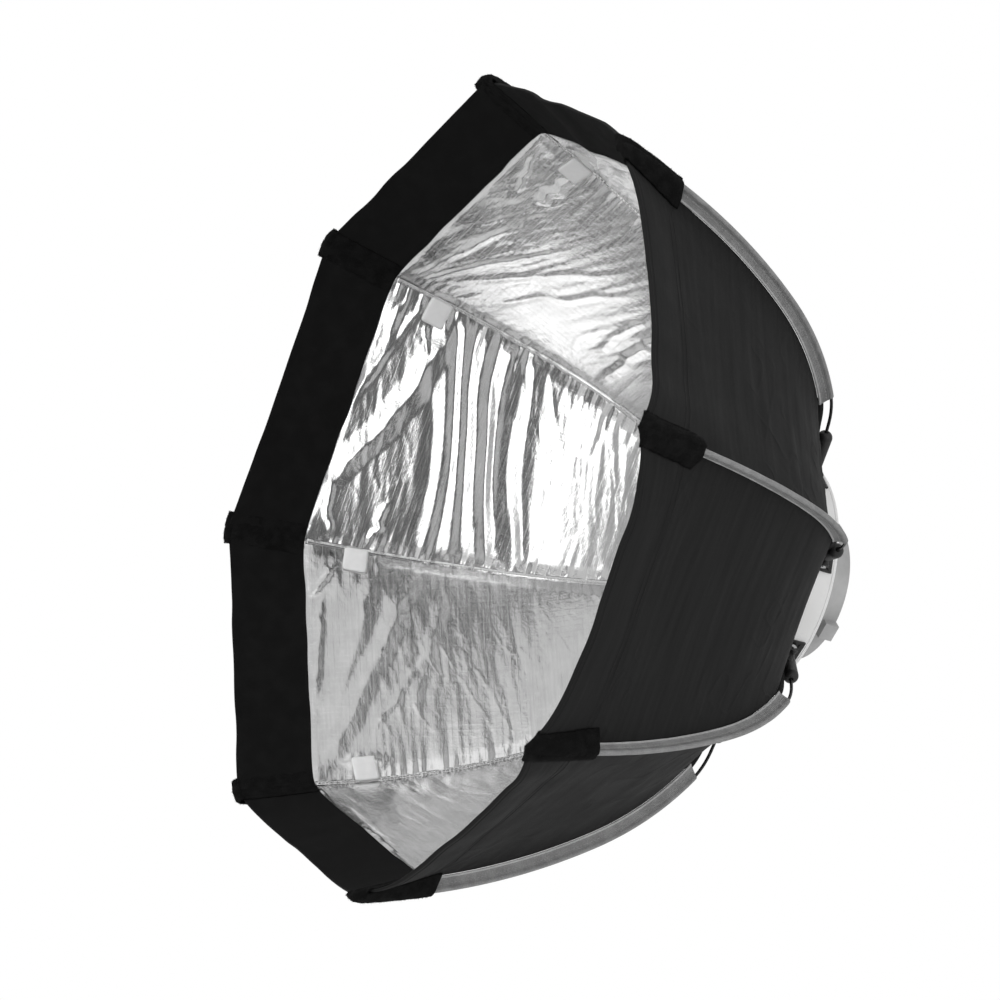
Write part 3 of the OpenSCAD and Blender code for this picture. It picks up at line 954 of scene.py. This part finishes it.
def make_lining_seam(k):
    """The narrow folded lip of silver lining along the inside of a seam, with its white stitches."""
    angle = rib_angle(k)
    run = np.arange(6 * MM, BAND_RUN - 0.3 * MM, 2.2 * MM)
    at, out = seam_point(run)
    wobble = 0.09 * noise(run / 0.006, 0.0, 900 + k)[:, None]
    section = [(-2.25, -2.3), (-2.15, -1.5), (-2.3, -0.75), (-2.6, 0.0), (-2.3, 0.75), (-2.15, 1.5), (-2.25, 2.3),
               (-1.75, 1.9), (-1.1, 0.0), (-1.75, -1.9)]
    deep, side = np.array(section).T[:, None] * MM
    deep = deep * (1 + wobble)
    points = turned(at[:, :1] + out[:, :1] * deep, side, at[:, 1:] + out[:, 1:] * deep, angle)
    lip = capped_tube(f"lining_seam_{k}", points, (SILVER,), uv=cloth_uv(side, run[:, None]))
    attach(lip, f"rib_{k}")
    run = np.arange(9 * MM, BAND_RUN - 2 * MM, 3.3 * MM)
    at, out = seam_point(run)
    ahead = np.stack([out[:, 1], -out[:, 0]], -1)
    centres = turned(at[:, 0] - out[:, 0] * 2.55 * MM, 0.0, at[:, 1] - out[:, 1] * 2.55 * MM, angle)
    ways = turned(ahead[:, 0], 0.0, ahead[:, 1], angle)
    ups = turned(-out[:, 0], 0.0, -out[:, 1], angle)
    stitches(f"seam_stitches_{k}", centres, ways, ups, 2.1 * MM, 0.42 * MM, WHITE_THREAD, f"rib_{k}")


# ---------------------------------------------------------------- corner straps and tabs

STRAP_HALF = 12.5 * MM
STRAP_T = 1.5 * MM


def strap_path():
    """Middle line (r, y) of a strap, from its outer end over the rod's tip and round the rim to the band's inner edge,
    with the unit step out of the strap's face and how far it has turned to the inside (0 to 1)."""
    first = heading_where_y(FRONT_Y + 61 * MM, 3.4 * MM)
    headings = np.linspace(first, H3, 44)
    outer = on_rod(headings, 3.4 * MM)
    outs = compass(headings)
    lift = 2.7 * MM
    inner_a = np.array((FRONT_R - lift, FRONT_Y + 1.0 * MM))
    edge, edge_out = seam_point(BAND_RUN - 1.0 * MM)
    inner_b = edge - edge_out * lift
    down = (inner_b - inner_a) / np.linalg.norm(inner_b - inner_a)
    inner_out = np.array((down[1], -down[0]))
    radius = (outer[-1][0] - inner_a[0]) / 2
    middle = np.array((outer[-1][0] - radius, FRONT_Y + 1.6 * MM))
    turn = np.radians(np.linspace(78, -84, 13))
    loop = middle + np.stack([np.sin(turn) * radius, -np.cos(turn) * (radius * 0.75 + 1.2 * MM)], -1)
    loop_out = np.stack([np.sin(turn), -np.cos(turn)], -1)
    u = np.linspace(0.02, 1, 30)[:, None]
    inner = inner_a + (inner_b - inner_a) * u
    line = np.vstack([outer, loop, inner])
    out = np.vstack([outs, loop_out, np.repeat(inner_out[None], len(u), 0)])
    inside = np.concatenate([np.zeros(len(outer)), np.linspace(0.1, 0.9, len(loop)), np.ones(len(u))])
    return line, out / np.linalg.norm(out, axis=1, keepdims=True), inside


def make_strap(k):
    """A fuzzy strap draped over the rod's end and stuck down inside the band, with its pile."""
    line, out, inside = strap_path()
    angle = rib_angle(k)
    wide = 37
    w = np.linspace(-1, 1, wide)[None, :]
    inside = inside[:, None]
    seam_r = np.interp(-line[:, 1:], -SEAM[:, 1], SEAM[:, 0])
    sink = np.maximum(line[:, :1] - seam_r + STRAP_HALF * math.tan(HALF) - 1.2 * MM, 5.0 * MM)
    draped = sink * np.abs(w) ** 2.1
    valley = np.sqrt((w * STRAP_HALF * math.tan(HALF)) ** 2 + (0.9 * MM) ** 2) - 0.9 * MM
    drop = draped * (1 - inside) + valley * inside
    # Its sides follow the panels on either side, which bow out and are pulled back
    behind = line[:, 1:] - FRONT_Y
    share = 1 - np.abs(w) * STRAP_HALF / (FRONT_R * SIN)
    push_a, back_a = lip_shift(k, -share, behind)
    push_b, back_b = lip_shift((k - 2) % RIBS + 1, share, behind)
    push, back = np.where(w > 0, push_a, push_b), np.where(w > 0, back_a, back_b)
    run = run_along(line)[:, None]
    rough_edge = 0.35 * noise(run / 0.0035, np.sign(w) * 3.0, 500 + k) + 0.2 * noise(run / 0.0016, np.sign(w), 501 + k)
    end = 0.6 * MM * noise(w * 5, 0.0, 520 + k) * (np.arange(len(line)) < 2)[:, None]
    lumps = 0.22 * noise(run / 0.006, w * 3.0, 540 + k) + 0.20 * noise(run / 0.0019, w * 7.0, 541 + k)
    sway = 0.9 * MM * noise(run / 0.05, 1.0, 560 + k) * (1 - inside)
    side = w * STRAP_HALF + rough_edge * MM * np.abs(w) ** 8 + sway
    thick = STRAP_T * (1 - 0.45 * inside)

    def face(height):
        rise = height + lumps * MM
        r = line[:, :1] + out[:, :1] * rise - drop + push
        return turned(r, side, line[:, 1:] + out[:, 1:] * rise + end + back, angle)

    top, under = face(thick / 2), face(-thick / 2)
    edge_left, edge_right = (top[:, :1] + under[:, :1]) / 2, (top[:, -1:] + under[:, -1:]) / 2
    bulge = turned(0.0, 0.5 * MM, 0.0, angle)
    ring = np.concatenate([top, edge_right + bulge, under[:, ::-1], edge_left - bulge], 1)
    strap = capped_tube(f"corner_strap_cloth_{k}", ring, (STRAP,))
    join_into(strap, strap_fibres(k, ring, wide, len(line)))
    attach(strap, f"rib_{k}")
    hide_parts(f"corner_strap_{k}")


def strap_fibres(k, ring, wide, rows):
    """Short loose fibres standing on the strap's outer face and edges, each a closed spike."""
    rng = np.random.RandomState(700 + k)
    count = 2600
    i = rng.uniform(0, rows - 1.001, count)
    edge = rng.uniform(0, 1, count) < 0.45
    j = np.where(edge, np.where(rng.uniform(0, 1, count) < 0.5, -0.6, wide - 0.4), rng.uniform(0, wide - 1.001, count))
    low = np.floor(i).astype(int)
    a = (i - low)[:, None]
    span = ring.shape[1]
    left = np.floor(j).astype(int)
    b = (j - left)[:, None]
    p00, p01 = ring[low, left % span], ring[low, (left + 1) % span]
    p10, p11 = ring[low + 1, left % span], ring[low + 1, (left + 1) % span]
    base = (p00 * (1 - b) + p01 * b) * (1 - a) + (p10 * (1 - b) + p11 * b) * a
    normal = np.cross(p01 - p00, p10 - p00)
    normal /= np.maximum(np.linalg.norm(normal, axis=1, keepdims=True), 1e-12)
    middle = ring[low].mean(1)
    normal *= np.sign(((base - middle) * normal).sum(1, keepdims=True) + 1e-12)
    lean = rng.normal(0, 0.75, (count, 3))
    way = normal + lean
    way /= np.linalg.norm(way, axis=1, keepdims=True)
    way = np.where((way * normal).sum(1, keepdims=True) < 0.15, normal, way)
    tall = rng.uniform(0.4, 1.5, (count, 1)) * MM
    thick = 0.13 * MM
    verts = []
    one = np.cross(way, (0.3, 0.7, 0.2))
    one /= np.linalg.norm(one, axis=1, keepdims=True)
    two = np.cross(way, one)
    for turn in (0, 120, 240):
        c, s = math.cos(math.radians(turn)), math.sin(math.radians(turn))
        verts.append(base - way * 0.3 * MM + (one * c + two * s) * thick)
    verts.append(base + way * tall + rng.normal(0, 0.15 * MM, (count, 3)))
    verts = np.stack(verts, 1).reshape(-1, 3)
    f = np.arange(count)[:, None] * 4
    faces = np.concatenate([f + np.array(t)[None] for t in ((0, 2, 1), (0, 1, 3), (1, 2, 3), (2, 0, 3))])
    return verts, faces


def join_into(piece, more):
    """Adds loose closed shapes to a piece's mesh."""
    verts, faces = more
    old = piece.data
    count = len(old.vertices)
    points = np.zeros(count * 3)
    old.vertices.foreach_get("co", points)
    every = [list(p.vertices) for p in old.polygons] + [[int(v) + count for v in f] for f in faces]
    mesh = bpy.data.meshes.new(old.name)
    mesh.from_pydata(np.vstack([points.reshape(-1, 3), verts]).tolist(), [], every)
    for material in old.materials:
        mesh.materials.append(material)
    mesh.polygons.foreach_set("use_smooth", np.ones(len(every), bool))
    piece.data = mesh
    bpy.data.meshes.remove(old)


TAB_SIDE = {6: "a"}


def make_tab(k):
    """A soft light square sewn at the seam inside, which holds an inner baffle."""
    side = TAB_SIDE.get(k, "b")
    way = 1 if side == "a" else -1
    angle = rib_angle(k)
    n = 15
    u, v = np.meshgrid(np.linspace(-1, 1, n), np.linspace(-1, 1, n), indexing="ij")
    # Rounded corners: the square is drawn in towards a superellipse
    ease = (np.abs(u) ** 9 + np.abs(v) ** 9 + 1e-12) ** (1 / 9)
    reach = np.maximum(np.abs(u), np.abs(v))
    u, v = u * reach / np.maximum(ease, 1e-9), v * reach / np.maximum(ease, 1e-9)
    run = SEAM_LENGTH - 105 * MM + u * 10 * MM
    across = way * (9.3 * MM + v * 10 * MM)
    at, out = seam_point(run)
    slope = math.tan(HALF)
    lift = 0.9 * MM * (1 - np.maximum(np.abs(u), np.abs(v)) ** 6) + 0.25 * MM * noise(u * 2, v * 2, 800 + k)
    surface = -2.0 * MM - np.abs(across) * slope * np.sin(np.arctan2(out[..., 0], out[..., 1]))

    def layer(height):
        deep = surface - height
        return turned(at[..., 0] + out[..., 0] * deep, across, at[..., 1] + out[..., 1] * deep, angle)

    top, under = layer(1.3 * MM + lift), layer(0.2 * MM)
    verts = np.concatenate([top.reshape(-1, 3), under.reshape(-1, 3)])
    faces = [list(q) for q in grid_faces(n, n)] + [list(q)[::-1] for q in grid_faces(n, n, n * n)]
    border = [i for i in range(n)] + [i * n + n - 1 for i in range(1, n)] + \
        [(n - 1) * n + i for i in range(n - 2, -1, -1)] + [i * n for i in range(n - 2, 0, -1)]
    for a, b in zip(border, border[1:] + border[:1]):
        faces.append([b, a, a + n * n, b + n * n])
    uv = np.tile(np.stack([across, run], -1).reshape(-1, 2), (2, 1))
    tab = mesh_piece(f"diffuser_tab_{k}", verts, faces, (TAB,), uv=uv)
    ride_half(tab, k, side)


for rib in range(1, RIBS + 1):
    make_sleeve(rib)
    sleeve_stitches(rib)
    make_seam_edge(rib)
    make_lining_seam(rib)
    make_strap(rib)
    make_tab(rib)

dress_cad_nodes()
